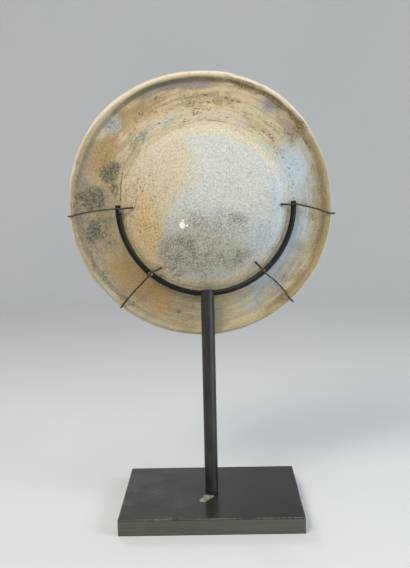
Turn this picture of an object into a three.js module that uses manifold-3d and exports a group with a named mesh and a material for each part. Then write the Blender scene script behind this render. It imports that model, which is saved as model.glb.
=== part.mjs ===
// A shallow handmade pottery bowl held upright, its underside to the front, on a
// museum stand: a heavy plate, a round post, a half-round cradle rod and four wires
// that hook over the bowl's rim. Millimetres, +Z up, the bowl's underside faces -Y,
// and the origin is the centre of the plate's underside.
import * as THREE from 'three';
import { mergeVertices } from 'three/addons/utils/BufferGeometryUtils.js';
import Module from 'manifold-3d';

// Stand: plate, post and rod stock
const plateWidth = 200;
const plateDepth = 150;
const plateThickness = 18;
const plateEdgeBreak = 0.8;
const postDiameter = 15;
const postForward = 4.5; // the post's axis in front of the plate's middle
const postOverCradle = 2; // what the post's end stands above the rod's inner side
const rodDiameter = 6;
const saddleDepth = 2; // how far the rod is let into the back of the post
const wireDiameter = 1.8;
const touchGap = 0.3; // between pieces that touch

// Bowl, read on its outside, from the middle of the dome to the rim
const bowlCentreHeight = 327; // the dome's middle above the plate's top
const domeDepth = 28;
const footRadius = 92.5;
const stepHeight = 1.6; // the low step at the foot of the dome
const stepWidth = 3;
const insideBend = 13.5; // on either side of the foot, where the inside bends into the flange
const rimRadius = 146.7;
const flangeSink = 4.7; // how far the flange lies behind the foot at its lowest
const troughShare = 0.58; // where that lowest place is, from the foot to the rim
const wall = 7.5;
const lipWidth = 8;
const lipRoot = 6; // the hollow bend that leads from the flange into the lip
const rootCorner = 0.8; // the share of that bend where it would have its corner
const lipRise = 5; // what the rolled lip stands proud of the flange
const lipBehind = 1; // and what it stands proud of the bowl's inside
const rimShift = [-6.1, 1.6]; // the rim's middle from the dome's middle, in X and Z
const rimWave = [[2, 0.7, -100], [3, 0.6, 154], [4, 0.6, -149], [5, 0.5, -97]]; // lobes, mm, degrees
const rimWarp = 1.2; // the rim's plane bends out of true by this, twice round
const rimWarpTurn = 34; // where the bend sits, in degrees

// Cradle and wires, as angles seen from the front, anticlockwise from the right
const footClearance = 1.4; // between the foot and the cradle rod's inside
const cradleLeftAngle = 178;
const cradleRightAngle = 362.5;
const hookReach = 9; // how far a wire's hook comes back behind the rim
const wireSlack = 0.4; // room that a bent wire keeps to the clay
const tipInset = 15; // from the rod to a wire's inner end
const hookSpring = 2.2; // what a sprung hook stands off the edge of the rim

// Breaks in the lip: [angle, half width in degrees, depth in mm]
const lipBreaks = [[69, 9, 3.4], [162, 2.6, 1.4]];
const breakFloor = 0.45; // the share of a break's width that is at full depth
const breakSlope = 0.35; // how much of a break's depth is also lost at the edge

// Triangle budget
const aroundBowl = 78;
const domeRows = 8;
const stepRows = 4;
const flangeRows = 7;
const rootRows = 3;
const lipRows = 9;
const lipFirstAngle = 140;
const lipLastAngle = -118;
const insideRows = 13;
const hookAngles = [80, 50, 20, -10, -40, -70, -95];
const midwayStops = [0.25, 0.5, 0.75]; // shares of the way from the rod to the rim
const wireSides = 6;
const wireSteps = 36;
const rodSides = 10;
const cradleSteps = 48;
const saddleSides = 12;
const postSides = 40;

// Places that follow from the sizes above
const rodRadius = rodDiameter / 2;
const wireRadius = wireDiameter / 2;
const postRadius = postDiameter / 2;
const cradleRadius = footRadius + footClearance + rodRadius;
const bowlMiddleZ = plateThickness + bowlCentreHeight;
const rodY = -postForward + postRadius - saddleDepth + rodRadius;
const footPlaneY = rodY + rodRadius + touchGap;
const lipInner = rimRadius - lipWidth;
const troughRadius = footRadius + troughShare * (rimRadius - footRadius);
const shoulderRadius = footRadius - stepWidth;

const wasm = await Module();
wasm.setup();

const radians = THREE.MathUtils.degToRad;
const smooth = (value, low, high) => THREE.MathUtils.smoothstep(value, low, high);

function closed(geometry) {
  geometry.deleteAttribute('normal');
  geometry.deleteAttribute('uv');
  return mergeVertices(geometry, 1e-4);
}

function solidOf(geometry) {
  const merged = closed(geometry);
  return new wasm.Manifold(new wasm.Mesh({
    numProp: 3,
    vertProperties: new Float32Array(merged.attributes.position.array),
    triVerts: new Uint32Array(merged.index.array),
  }));
}

function geometryOf(solid) {
  const { vertProperties, triVerts } = solid.getMesh();
  const geometry = new THREE.BufferGeometry();
  geometry.setAttribute('position', new THREE.BufferAttribute(vertProperties, 3));
  geometry.setIndex(new THREE.BufferAttribute(triVerts, 1));
  geometry.computeVertexNormals();
  return geometry;
}

function metal(color, roughness) {
  return new THREE.MeshStandardMaterial({ color, roughness, metalness: 0.6 });
}

const stand = new THREE.Group();

function add(name, geometry, material) {
  const mesh = new THREE.Mesh(geometry, material);
  mesh.name = name;
  stand.add(mesh);
  return mesh;
}

// The outside of the bowl, as a height towards the front over the foot's plane: a
// parabola for the dome, a short step at the foot, and a parabola sunk behind the
// foot for the flange.
function domeHeight(radius) {
  return stepHeight + (domeDepth - stepHeight) * (1 - (radius / shoulderRadius) ** 2);
}

function flangeHeight(radius) {
  const along = (radius - troughRadius) / (footRadius - troughRadius);
  return -flangeSink * (1 - along ** 2);
}

function outerHeight(radius) {
  if (radius < shoulderRadius) return domeHeight(radius);
  if (radius > footRadius) return flangeHeight(radius);
  return stepHeight * (1 - smooth(radius, shoulderRadius, footRadius));
}

// The inside follows the outside at the wall's thickness, without the sharp step.
function innerHeight(radius) {
  const blend = smooth(radius, footRadius - insideBend, footRadius + insideBend);
  const flange = flangeHeight(Math.max(radius, footRadius));
  return domeHeight(radius) * (1 - blend) + flange * blend - wall;
}

// The lip is a long oval that leans out: round on the rim, proud on the outside.
const lipTop = outerHeight(lipInner) + lipRise;
const lipBack = outerHeight(lipInner) - wall - lipBehind;
function lipPoint(angle, off = 0, standOff = 0) {
  const middle = rimRadius - lipWidth / 2;
  const level = (lipTop + lipBack) / 2;
  return [
    middle + (lipWidth / 2 + off + standOff) * Math.cos(angle),
    level + ((lipTop - lipBack) / 2 + off) * Math.sin(angle),
  ];
}

// Puts a point of the turned profile where the handmade bowl has it: the rim is
// off the dome's middle, a little out of round and out of flat, and it is chipped.
function bowlPoint(radius, height, angle) {
  const share = smooth(radius, footRadius, rimRadius);
  let reach = radius;
  for (const [lobes, size, turn] of rimWave) {
    reach += share * size * Math.cos(lobes * angle - radians(turn));
  }
  let level = height + share * rimWarp * Math.sin(2 * angle + radians(rimWarpTurn));
  const onLip = smooth(radius, lipInner, lipInner + lipWidth / 3) * smooth(height, lipBack, lipTop);
  for (const [at, halfWidth, depth] of lipBreaks) {
    const turn = angle - radians(at);
    const away = Math.abs(Math.atan2(Math.sin(turn), Math.cos(turn)));
    const edge = radians(halfWidth);
    const bite = depth * onLip * (1 - smooth(away, edge * breakFloor, edge));
    level -= bite;
    reach -= bite * breakSlope;
  }
  return new THREE.Vector3(
    share * rimShift[0] + reach * Math.cos(angle),
    footPlaneY - level,
    bowlMiddleZ + share * rimShift[1] + reach * Math.sin(angle),
  );
}

// The profile from the middle of the dome over the outside, round the lip and back
// to the middle over the inside.
function bowlProfile() {
  const rows = [[0, outerHeight(0)]];
  const flangeEnd = lipInner - lipRoot;
  const outside = [[0, shoulderRadius, domeRows], [shoulderRadius, footRadius, stepRows],
    [footRadius, flangeEnd, flangeRows]];
  for (const [from, to, count] of outside) {
    for (let i = 1; i <= count; i += 1) {
      const radius = from + ((to - from) * i) / count;
      rows.push([radius, outerHeight(radius)]);
    }
  }
  const [lipRadius, lipHeight] = lipPoint(radians(lipFirstAngle));
  const cornerRadius = THREE.MathUtils.lerp(flangeEnd, lipRadius, rootCorner);
  const root = new THREE.QuadraticBezierCurve(
    new THREE.Vector2(flangeEnd, outerHeight(flangeEnd)),
    new THREE.Vector2(cornerRadius, outerHeight(cornerRadius)),
    new THREE.Vector2(lipRadius, lipHeight),
  );
  for (let i = 1; i < rootRows; i += 1) rows.push(root.getPoint(i / rootRows).toArray());
  for (let i = 0; i <= lipRows; i += 1) {
    rows.push(lipPoint(radians(lipFirstAngle + ((lipLastAngle - lipFirstAngle) * i) / lipRows)));
  }
  for (let i = 0; i <= insideRows; i += 1) {
    const radius = flangeEnd * (1 - i / insideRows);
    rows.push([radius, innerHeight(radius)]);
  }
  return rows.map(([radius, height]) => new THREE.Vector2(radius, height));
}

// Each corner of the turned shell is moved by bowlPoint. The turning axis becomes
// the line to the front, which is half a turn about X.
function bowlGeometry() {
  const shell = new THREE.LatheGeometry(bowlProfile().reverse(), aroundBowl);
  const corners = shell.attributes.position;
  for (let i = 0; i < corners.count; i += 1) {
    const across = corners.getX(i);
    const up = -corners.getZ(i);
    const place = bowlPoint(Math.hypot(across, up), corners.getY(i), Math.atan2(up, across));
    corners.setXYZ(i, place.x, place.y, place.z);
  }
  const geometry = closed(shell);
  geometry.computeVertexNormals();
  return geometry;
}

class CradleCurve extends THREE.Curve {
  getPoint(t, target = new THREE.Vector3()) {
    const angle = radians(cradleLeftAngle + (cradleRightAngle - cradleLeftAngle) * t);
    return target.set(
      cradleRadius * Math.cos(angle),
      rodY,
      bowlMiddleZ + cradleRadius * Math.sin(angle),
    );
  }
}

function roundBar(curve, radius, sides, steps) {
  const section = new THREE.Shape();
  for (let i = 0; i < sides; i += 1) {
    const angle = (2 * Math.PI * (i + 0.5)) / sides;
    section[i ? 'lineTo' : 'moveTo'](radius * Math.cos(angle), radius * Math.sin(angle));
  }
  section.closePath();
  return new THREE.ExtrudeGeometry(section, { steps, extrudePath: curve, bevelEnabled: false });
}

// A wire crosses in front of the cradle rod, runs out over the flange to the lip,
// bends round the rim and comes back behind it; its other end rests on the dome,
// in from the rod. Each stop is [radius, height, angle] for the wire's middle.
// inset and spring are shares of tipInset and hookSpring, and bow bends it sideways.
function wireCurve({ cross, tip, inset, rim, bow, spring }) {
  const standOff = spring * hookSpring;
  const touch = wireRadius + touchGap;
  const clear = touch + wireSlack;
  const tipRadius = cradleRadius - inset * tipInset;
  const rest = outerHeight(tipRadius) + clear;
  const overRod = touchGap + rodDiameter + touch;
  const rodInside = cradleRadius - rodRadius;
  const rodOutside = cradleRadius + rodRadius;
  const stops = [
    [tipRadius, rest, tip],
    [(tipRadius + rodInside) / 2, Math.max(rest, overRod), (tip + cross) / 2],
    [rodInside, overRod, cross],
    [rodOutside, overRod, cross],
  ];
  const [lipRadius, lipHeight] = lipPoint(radians(hookAngles[0]), clear, standOff);
  for (const t of midwayStops) {
    stops.push([
      rodOutside + (lipRadius - rodOutside) * t,
      overRod + (lipHeight - overRod) * t,
      cross + (rim - cross) * t + bow * Math.sin(Math.PI * t),
    ]);
  }
  for (const angle of hookAngles) {
    stops.push([...lipPoint(radians(angle), clear, standOff), rim]);
  }
  stops.push([rimRadius - hookReach, lipBack - clear, rim]);
  const points = stops.map(([radius, height, angle]) => bowlPoint(radius, height, radians(angle)));
  return new THREE.CatmullRomCurve3(points, false, 'centripetal');
}

const blackened = metal(0x26282a, 0.42);
const dull = metal(0x1e1f20, 0.55);
const clay = new THREE.MeshStandardMaterial({ color: 0xb9a988, roughness: 0.9 });

// The plate, its edges broken by a narrow chamfer all round
const outline = new THREE.Shape();
const halfWidth = plateWidth / 2 - plateEdgeBreak;
const halfDepth = plateDepth / 2 - plateEdgeBreak;
outline.moveTo(-halfWidth, -halfDepth);
outline.lineTo(halfWidth, -halfDepth);
outline.lineTo(halfWidth, halfDepth);
outline.lineTo(-halfWidth, halfDepth);
outline.closePath();
const plate = new THREE.ExtrudeGeometry(outline, {
  depth: plateThickness - 2 * plateEdgeBreak,
  bevelThickness: plateEdgeBreak,
  bevelSize: plateEdgeBreak,
  bevelSegments: 1,
});
plate.translate(0, 0, plateEdgeBreak);
add('base_plate', closed(plate), blackened);

// The post, with a saddle cut across its back for the rod
const postFoot = plateThickness + touchGap;
const postTop = bowlMiddleZ - cradleRadius + rodRadius + postOverCradle;
const postBar = new THREE.CylinderGeometry(postRadius, postRadius, postTop - postFoot, postSides);
postBar.rotateX(Math.PI / 2);
postBar.translate(0, -postForward, (postTop + postFoot) / 2);
const saddle = roundBar(new CradleCurve(), rodRadius + touchGap, saddleSides, cradleSteps);
add('post', geometryOf(solidOf(postBar).subtract(solidOf(saddle))), blackened);

add('cradle_rod', closed(roundBar(new CradleCurve(), rodRadius, rodSides, cradleSteps)), dull);

const wires = {
  upper_left_wire: { cross: 180.4, tip: 179.6, inset: 1.13, rim: 183.7, bow: -0.3, spring: 0 },
  upper_right_wire: { cross: 0.2, tip: 0.4, inset: 1, rim: -4.8, bow: 0, spring: 1 },
  lower_left_wire: { cross: 229.4, tip: 233.2, inset: 0.93, rim: 230.9, bow: 0, spring: 0 },
  lower_right_wire: { cross: 311.1, tip: 310.7, inset: 1, rim: 312.6, bow: 1.2, spring: 1 },
};
for (const [name, wire] of Object.entries(wires)) {
  add(name, closed(roundBar(wireCurve(wire), wireRadius, wireSides, wireSteps)), dull);
}

add('bowl', bowlGeometry(), clay);

export default stand;
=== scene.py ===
# %% [markdown]
# A pottery bowl on a museum stand
#
# The object is a shallow handmade bowl, shown with its underside to the front. A round
# cradle rod carries it, four bent wires hook over its rim, and a post on a heavy plate
# holds the rod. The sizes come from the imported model, and this lesson adds the looks:
# the worn clay, the bent wires and the painted steel. Lengths are in millimetres until
# a shape becomes a mesh, because a maker thinks of a bowl in millimetres.

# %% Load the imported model
import math

import bpy
import numpy as np
from mathutils import Matrix, Vector


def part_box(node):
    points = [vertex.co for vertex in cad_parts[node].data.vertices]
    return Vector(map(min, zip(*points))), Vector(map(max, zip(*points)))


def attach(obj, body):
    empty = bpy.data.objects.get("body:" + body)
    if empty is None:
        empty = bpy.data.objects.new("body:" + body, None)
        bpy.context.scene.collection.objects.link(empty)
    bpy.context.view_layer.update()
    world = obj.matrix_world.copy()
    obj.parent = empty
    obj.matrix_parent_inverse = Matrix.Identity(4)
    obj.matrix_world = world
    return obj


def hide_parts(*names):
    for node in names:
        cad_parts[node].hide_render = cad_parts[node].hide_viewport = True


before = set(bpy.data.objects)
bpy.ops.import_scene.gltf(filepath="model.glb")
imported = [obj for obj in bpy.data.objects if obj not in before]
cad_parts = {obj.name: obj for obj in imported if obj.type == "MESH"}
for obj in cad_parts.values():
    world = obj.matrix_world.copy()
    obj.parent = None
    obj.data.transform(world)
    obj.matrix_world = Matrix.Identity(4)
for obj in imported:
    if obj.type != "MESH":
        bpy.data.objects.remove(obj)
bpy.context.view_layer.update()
MM = 0.001
# Which axis is upright, and which runs from front to back
UP, FRONT = 2, 1


def node_box(name):
    """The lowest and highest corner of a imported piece, in millimetres."""
    low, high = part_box(name)
    return np.array(low) / MM, np.array(high) / MM


for name in sorted(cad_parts):
    low, high = node_box(name)
    print(f"{name:18s} from {np.round(low, 1)} to {np.round(high, 1)} mm")

# %% [markdown]
# The camera
#
# The place of a camera can be worked out from a picture of a box whose edges are known.
# Here the plate's corners and the upright post gave it. The camera stands a little to
# the right of the post, looks down by under eight degrees, and is tipped slightly, as
# a hand-held camera is. Its yaw, pitch and roll make a rotation matrix.

# %% Camera
CAMERA_PLACE = np.array([11.25, -855.8, 374.8])
CAMERA_YAW, CAMERA_PITCH, CAMERA_ROLL = np.radians([-0.924, 7.694, -1.27])
PICTURE_HEIGHT = 568
FOCAL_PIXELS = 776.0
SENSOR = 36.0


def camera_axes(yaw, pitch, roll):
    """Right, up and forward: a level look turned by yaw, tipped down by pitch, then rolled."""
    forward = np.array([math.sin(yaw) * math.cos(pitch), math.cos(yaw) * math.cos(pitch), -math.sin(pitch)])
    level = np.array([math.cos(yaw), -math.sin(yaw), 0.0])
    upright = np.cross(level, forward)
    right = level * math.cos(roll) + upright * math.sin(roll)
    return right, np.cross(right, forward), forward


right, upward, forward = camera_axes(CAMERA_YAW, CAMERA_PITCH, CAMERA_ROLL)
lens = bpy.data.cameras.new("bowl_camera")
lens.sensor_width = SENSOR
lens.lens = FOCAL_PIXELS / PICTURE_HEIGHT * SENSOR
camera = bpy.data.objects.new("bowl_camera", lens)
bpy.context.scene.collection.objects.link(camera)
turn = Matrix([[right[i], upward[i], -forward[i]] for i in range(3)])
camera.matrix_world = Matrix.Translation(Vector(CAMERA_PLACE * MM)) @ turn.to_4x4()
bpy.context.scene.camera = camera
print(f"lens {lens.lens:.2f} mm, camera {np.linalg.norm(CAMERA_PLACE[:2]):.0f} mm from the plate's middle")

# %% [markdown]
# Meshes from grids
#
# Every piece here is a closed skin: a grid of points whose first row and last row each
# shrink to one point, like a globe with two poles. One function turns such a grid into
# a mesh. It measures the volume that the faces enclose, and turns the faces round if
# the sign shows that they look inwards.

# %% A closed skin from a grid


def skin_faces(rows, columns):
    """Quads between the rows, and fans of triangles from the two poles."""
    ring = np.arange(columns)
    following = np.roll(ring, -1)
    starts = 1 + columns * np.arange(rows - 2)
    lower, upper = starts[:-1, None], starts[1:, None]
    quads = np.stack([lower + ring, lower + following, upper + following, upper + ring], axis=-1)
    last = 1 + columns * (rows - 2)
    first_fan = np.stack([np.zeros_like(ring), 1 + following, 1 + ring], axis=-1)
    last_fan = np.stack([np.full_like(ring, last), starts[-1] + ring, starts[-1] + following], axis=-1)
    return quads.reshape(-1, 4), np.concatenate([first_fan, last_fan])


def enclosed(corners, quads, fans):
    """The volume inside: a sixth of the sum of the corner products of all triangles."""
    triangles = np.concatenate([fans, quads[:, [0, 1, 2]], quads[:, [0, 2, 3]]])
    a, b, c = (corners[triangles[:, i]] for i in range(3))
    return np.einsum("ij,ij->", a, np.cross(b, c)) / 6


def flatten(values):
    """Grid values in the order of the mesh's corners: a pole, the rows between, a pole."""
    return np.concatenate([values[:1, 0], values[1:-1].reshape(-1, *values.shape[2:]), values[-1:, 0]])


def mesh_piece(name, corners, faces):
    """An object in the scene, from corners in millimetres and faces."""
    mesh = bpy.data.meshes.new(name)
    mesh.from_pydata((corners * MM).tolist(), [], faces)
    mesh.shade_smooth()
    piece = bpy.data.objects.new(name, mesh)
    bpy.context.scene.collection.objects.link(piece)
    return piece


def skin(name, grid, replaced=(), readings=None):
    """Makes a piece from a grid of points in millimetres, rows by columns by three.
    readings are numbers for each grid point that a finish can read as attributes."""
    rows, columns = grid.shape[:2]
    corners = flatten(grid)
    quads, fans = skin_faces(rows, columns)
    volume = enclosed(corners, quads, fans)
    if volume < 0:
        quads, fans = quads[:, ::-1], fans[:, ::-1]
    piece = mesh_piece(name, corners, quads.tolist() + fans.tolist())
    for reading, values in (readings or {}).items():
        attribute = piece.data.attributes.new(reading, "FLOAT", "POINT")
        attribute.data.foreach_set("value", flatten(values).astype(np.float32))
    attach(piece, "root")
    if replaced:
        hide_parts(*replaced)
    print(f"{name}: {2 * len(quads) + len(fans)} triangles, {abs(volume) / 1000:.1f} cm3")
    return piece


# %% [markdown]
# Unevenness
#
# Handmade things are never quite true. A cloud is a smooth random field: numbers are
# drawn for the corners of a lattice of cells, and between them the eight nearest are
# blended. The size of a cell is the size of the bumps. The draw is seeded, so the same
# bowl comes out each time. Four short functions stand before it, and the later cells use
# them all.

# %% Curves, turns and clouds


def smooth(value, low, high):
    """0 below low, 1 above high, and an even S-curve between them."""
    share = np.clip((value - low) / (high - low), 0, 1)
    return share * share * (3 - 2 * share)


def bell(value, middle, width):
    """1 at the middle, falling off evenly: e to the power of minus the squared distance."""
    return np.exp(-(((value - middle) / width) ** 2))


def polar(reach, turn):
    """The point at a distance and an angle: (reach cos turn, reach sin turn)."""
    return np.stack([reach * np.cos(turn), reach * np.sin(turn)], axis=-1)


def turned(across, upright, degrees):
    """A place across and up, turned round the origin by an angle."""
    cos, sin = math.cos(math.radians(degrees)), math.sin(math.radians(degrees))
    return across * cos - upright * sin, across * sin + upright * cos


LATTICE_TURN = np.array(Matrix.Rotation(0.7, 3, (0.3, 0.5, 0.81)))


def cloud(points, size, seed, layers=1):
    """A random field from about -1 to 1. Each layer is half as large and half as strong.
    The lattice is turned, so that its rows don't line up with the piece."""
    drawn = np.random.default_rng(seed).uniform(-1, 1, (32, 32, 32))
    total = np.zeros(points.shape[:-1])
    for layer in range(layers):
        place = points @ LATTICE_TURN / (size / 2**layer) + 7.3 * layer
        cell = np.floor(place).astype(int)
        share = smooth(place - cell, 0, 1)
        for corner in np.ndindex(2, 2, 2):
            weight = np.prod(np.where(corner, share, 1 - share), axis=-1)
            at = (cell + corner) % 32
            total += weight * drawn[at[..., 0], at[..., 1], at[..., 2]] / 2**layer
    return total


# %% [markdown]
# The bowl's profile
#
# A potter turns a bowl as one profile. Read on the outside from the middle: a low dome,
# a short step at its foot, a flange that sinks a little, and a rolled lip. The same
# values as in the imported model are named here, and a cell further on prints how far the
# two differ. The lip is an oval, so it is worked out by an angle.

# %% Profile of the bowl
BOWL_MIDDLE_Z = 345.0
FOOT_PLANE_Y = 7.3
DOME_DEPTH = 28.0
FOOT_RADIUS = 92.5
STEP_HEIGHT, STEP_WIDTH = 1.6, 3.0
INSIDE_BEND = 13.5
RIM_RADIUS = 146.7
FLANGE_SINK, TROUGH_SHARE = 4.7, 0.58
WALL = 7.5
LIP_WIDTH, LIP_RISE, LIP_BEHIND = 8.0, 5.0, 1.0
LIP_ROOT, ROOT_CORNER = 6.0, 0.8
SHOULDER_RADIUS = FOOT_RADIUS - STEP_WIDTH
TROUGH_RADIUS = FOOT_RADIUS + TROUGH_SHARE * (RIM_RADIUS - FOOT_RADIUS)
LIP_INNER = RIM_RADIUS - LIP_WIDTH


def dome_height(radius):
    """A parabola from the dome's depth down to the step at the shoulder."""
    return STEP_HEIGHT + (DOME_DEPTH - STEP_HEIGHT) * (1 - (radius / SHOULDER_RADIUS) ** 2)


def flange_height(radius):
    """A parabola that is level with the foot, and lowest in the trough."""
    along = (radius - TROUGH_RADIUS) / (FOOT_RADIUS - TROUGH_RADIUS)
    return -FLANGE_SINK * (1 - along**2)


def outer_height(radius):
    """Dome inside the shoulder, flange outside the foot, an S-curve between them."""
    step = STEP_HEIGHT * (1 - smooth(radius, SHOULDER_RADIUS, FOOT_RADIUS))
    inside = np.where(radius < SHOULDER_RADIUS, dome_height(radius), step)
    return np.where(radius > FOOT_RADIUS, flange_height(radius), inside)


def inner_height(radius):
    """The outside less the wall; it bends into the flange over a wider band than the step."""
    blend = smooth(radius, FOOT_RADIUS - INSIDE_BEND, FOOT_RADIUS + INSIDE_BEND)
    flange = flange_height(np.maximum(radius, FOOT_RADIUS))
    return dome_height(radius) * (1 - blend) + flange * blend - WALL


LIP_TOP = float(outer_height(np.array(LIP_INNER))) + LIP_RISE
LIP_BACK = float(outer_height(np.array(LIP_INNER))) - WALL - LIP_BEHIND


def lip_point(angle, off=0.0, stand_off=0.0):
    """Radius and height on the lip's oval, off its surface by off, and wider by stand_off."""
    radius = RIM_RADIUS - LIP_WIDTH / 2 + (LIP_WIDTH / 2 + off + stand_off) * np.cos(angle)
    return radius, (LIP_TOP + LIP_BACK) / 2 + ((LIP_TOP - LIP_BACK) / 2 + off) * np.sin(angle)


# %% Where the handmade bowl has each point
RIM_SHIFT = (-6.1, 1.6)
RIM_WAVE = [(2, 0.7, -100), (3, 0.6, 154), (4, 0.6, -149), (5, 0.5, -97)]
RIM_WARP, RIM_WARP_TURN = 1.2, 34
LIP_BREAKS = [(69, 9, 3.4), (162, 2.6, 1.4)]
BREAK_FLOOR, BREAK_SLOPE = 0.45, 0.35


def angle_from(angle, degrees):
    """How far an angle is from a direction, in radians, the short way round."""
    return np.abs((angle - math.radians(degrees) + math.pi) % (2 * math.pi) - math.pi)


def on_bowl(radius, height, angle):
    """Puts a point of the true profile where the handmade bowl has it: the rim's middle
    is off the dome's, a sum of waves makes it out of round, a double wave bends it out
    of flat, and each break lowers the lip and takes some off its edge."""
    share = smooth(radius, FOOT_RADIUS, RIM_RADIUS)
    waves = sum(size * np.cos(lobes * angle - math.radians(lag)) for lobes, size, lag in RIM_WAVE)
    reach = radius + share * waves
    level = height + share * RIM_WARP * np.sin(2 * angle + math.radians(RIM_WARP_TURN))
    on_lip = smooth(radius, LIP_INNER, LIP_INNER + LIP_WIDTH / 3) * smooth(height, LIP_BACK, LIP_TOP)
    for at, half_width, depth in LIP_BREAKS:
        edge = math.radians(half_width)
        bite = depth * on_lip * (1 - smooth(angle_from(angle, at), edge * BREAK_FLOOR, edge))
        level = level - bite
        reach = reach - bite * BREAK_SLOPE
    across = share * RIM_SHIFT[0] + reach * np.cos(angle)
    upright = BOWL_MIDDLE_Z + share * RIM_SHIFT[1] + reach * np.sin(angle)
    return np.stack([across, FOOT_PLANE_Y - level, upright], axis=-1)


# %% [markdown]
# The bowl as one fine skin
#
# The profile runs from the middle of the dome over the outside, round the lip, and back
# over the inside to the middle. Turned round in many steps it gives a grid. The wear is
# then pushed in along the surface's own direction: soft dents from the hands, rings
# from the turning, pits where grit fell out, cracks, and the rough floor of the chip.
# Pushing real points, and not only bending the light, keeps the wear in the outline.

# %% The bowl's grid
AROUND = 440
FLANGE_END = LIP_INNER - LIP_ROOT
FINE_FROM = 78.0
OUTSIDE_ROWS = [(0.0, FINE_FROM, 42), (FINE_FROM, SHOULDER_RADIUS, 14), (SHOULDER_RADIUS, FOOT_RADIUS, 6),
                (FOOT_RADIUS, FLANGE_END, 42)]
DOME_ROW = 40
LIP_ANGLES = np.radians(np.linspace(140, -118, 30))
ROOT_ROWS, INSIDE_ROWS = 9, 48


def lip_root():
    """A quadratic curve from the flange up to the lip, bent towards the corner it cuts."""
    t = np.linspace(0, 1, ROOT_ROWS, endpoint=False)[:, None]
    start = np.array([FLANGE_END, outer_height(np.array(FLANGE_END))])
    end = np.array(lip_point(LIP_ANGLES[0]))
    corner = FLANGE_END + ROOT_CORNER * (end[0] - FLANGE_END)
    bend = np.array([corner, outer_height(np.array(corner))])
    return ((1 - t) ** 2 * start + 2 * t * (1 - t) * bend + t**2 * end).T


def bowl_profile():
    """Radius, height and side (1 outside, 0 inside, between on the lip) of each row."""
    radius = np.concatenate([np.linspace(a, b, n, endpoint=False) for a, b, n in OUTSIDE_ROWS])
    height = outer_height(radius)
    root_radius, root_height = lip_root()
    lip_radius, lip_height = lip_point(LIP_ANGLES)
    back = FLANGE_END * np.linspace(1, 0, INSIDE_ROWS)
    front = np.ones(len(radius) + ROOT_ROWS)
    side = np.concatenate([front, smooth(lip_height, LIP_BACK + 2, LIP_BACK + 6), np.zeros(len(back))])
    radius = np.concatenate([radius, root_radius, lip_radius, back])
    height = np.concatenate([height, root_height, lip_height, inner_height(back)])
    return radius, height, side


def facing(grid):
    """The direction that each point of a closed grid looks in: across its two tangents."""
    along = np.gradient(grid, axis=0)
    around = np.roll(grid, -1, axis=1) - np.roll(grid, 1, axis=1)
    direction = np.cross(along, around)
    return direction / np.maximum(np.linalg.norm(direction, axis=-1, keepdims=True), 1e-9)


profile_radius, profile_height, profile_side = bowl_profile()
angles = np.linspace(0, 2 * math.pi, AROUND, endpoint=False)
radius = np.repeat(profile_radius[:, None], AROUND, axis=1)
side = np.repeat(profile_side[:, None], AROUND, axis=1)
angle = np.broadcast_to(angles, radius.shape)
bowl_grid = on_bowl(radius, profile_height[:, None], angle)
low, high = node_box("bowl")
print("bowl grid", bowl_grid.shape, "differs from the packed bowl's corners by",
      np.round(bowl_grid.min((0, 1)) - low, 2), np.round(bowl_grid.max((0, 1)) - high, 2), "mm")

# %% [markdown]
# Wear that has depth
#
# Each kind of wear is a depth in millimetres over the whole grid, and they are added. A
# crack is a narrow groove round a line of points. Pits come in short rows along the
# turning, where grit was dragged out, so each row is a shallow groove too, and the
# finish breaks it up into single holes. Nearly all of it is on the outside, on show.

# %% Dents, rings, pits and cracks
flat = bowl_grid - np.array([0.0, 0.0, BOWL_MIDDLE_Z])
outside = side > 0.5


def groove(points, line, width):
    """1 on a line of points (x, z), fading to 0 at width beside it."""
    line = np.array(line, float)
    seen = points[..., [0, UP]]
    nearest = np.full(seen.shape[:-1], 1e9)
    for a, b in zip(line[:-1], line[1:]):
        share = np.clip(((seen - a) @ (b - a)) / ((b - a) @ (b - a)), 0, 1)
        nearest = np.minimum(nearest, np.linalg.norm(seen - a - share[..., None] * (b - a), axis=-1))
    return 1 - smooth(nearest, width * 0.25, width)


def arc_points(radius, start, end, count=9, wobble=0.0):
    """Points (x, z) along an arc round the dome's middle, with a slight wave."""
    turn = np.radians(np.linspace(start, end, count))
    return polar(radius + wobble * np.sin(5 * turn), turn)


def near(degrees, full, gone):
    """1 where a grid point's angle is within full radians of a direction, 0 beyond gone."""
    return 1 - smooth(angle_from(angle, degrees), full, gone)


# Each crack is its line, its width and its depth, and so is each row of pits
CRACKS = [
    (arc_points(137.6, 62, 79, wobble=0.7), 2.4, 0.5),
    (arc_points(93.3, 75, 88, wobble=0.4), 0.9, 0.6),
    ([(-91.2, 38.6), (-93.6, 24), (-94.4, 7)], 1.1, 0.7),
    (arc_points(91.3, 96, 128, wobble=0.5), 1.0, 0.35),
    (arc_points(97.5, 108, 135, wobble=0.7), 1.2, 0.35),
    ([(-43, -33), (-33, -30.5), (-24.5, -26.9)], 0.9, 0.35),
]
PIT_ROWS, PIT_RINGS = 54, [97, 104, 113, 121]
draw = np.random.default_rng(17)
pit_rows = []
for _ in range(PIT_ROWS):
    at = draw.normal(90, 36)
    reach = draw.choice(PIT_RINGS) + draw.normal(0, 2.5)
    half = math.degrees(draw.uniform(3, 22) / reach) / 2
    line = arc_points(reach, at - half, at + half, count=5) + draw.normal(0, 0.6, (5, 2))
    pit_rows.append((line, draw.uniform(2.0, 3.6), draw.uniform(0.3, 0.9)))

RING_PITCH, RING_DEPTH = 3.4, 0.09
FOOT_RIDGE, FOOT_GROOVE = 83.5, 88.9
CHIP_ANGLE, CHIP_HALF = 69, 11
PIT_SINK, INSIDE_RINGS, WEAR_SHARE = 0.25, 0.8, 0.8

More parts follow.
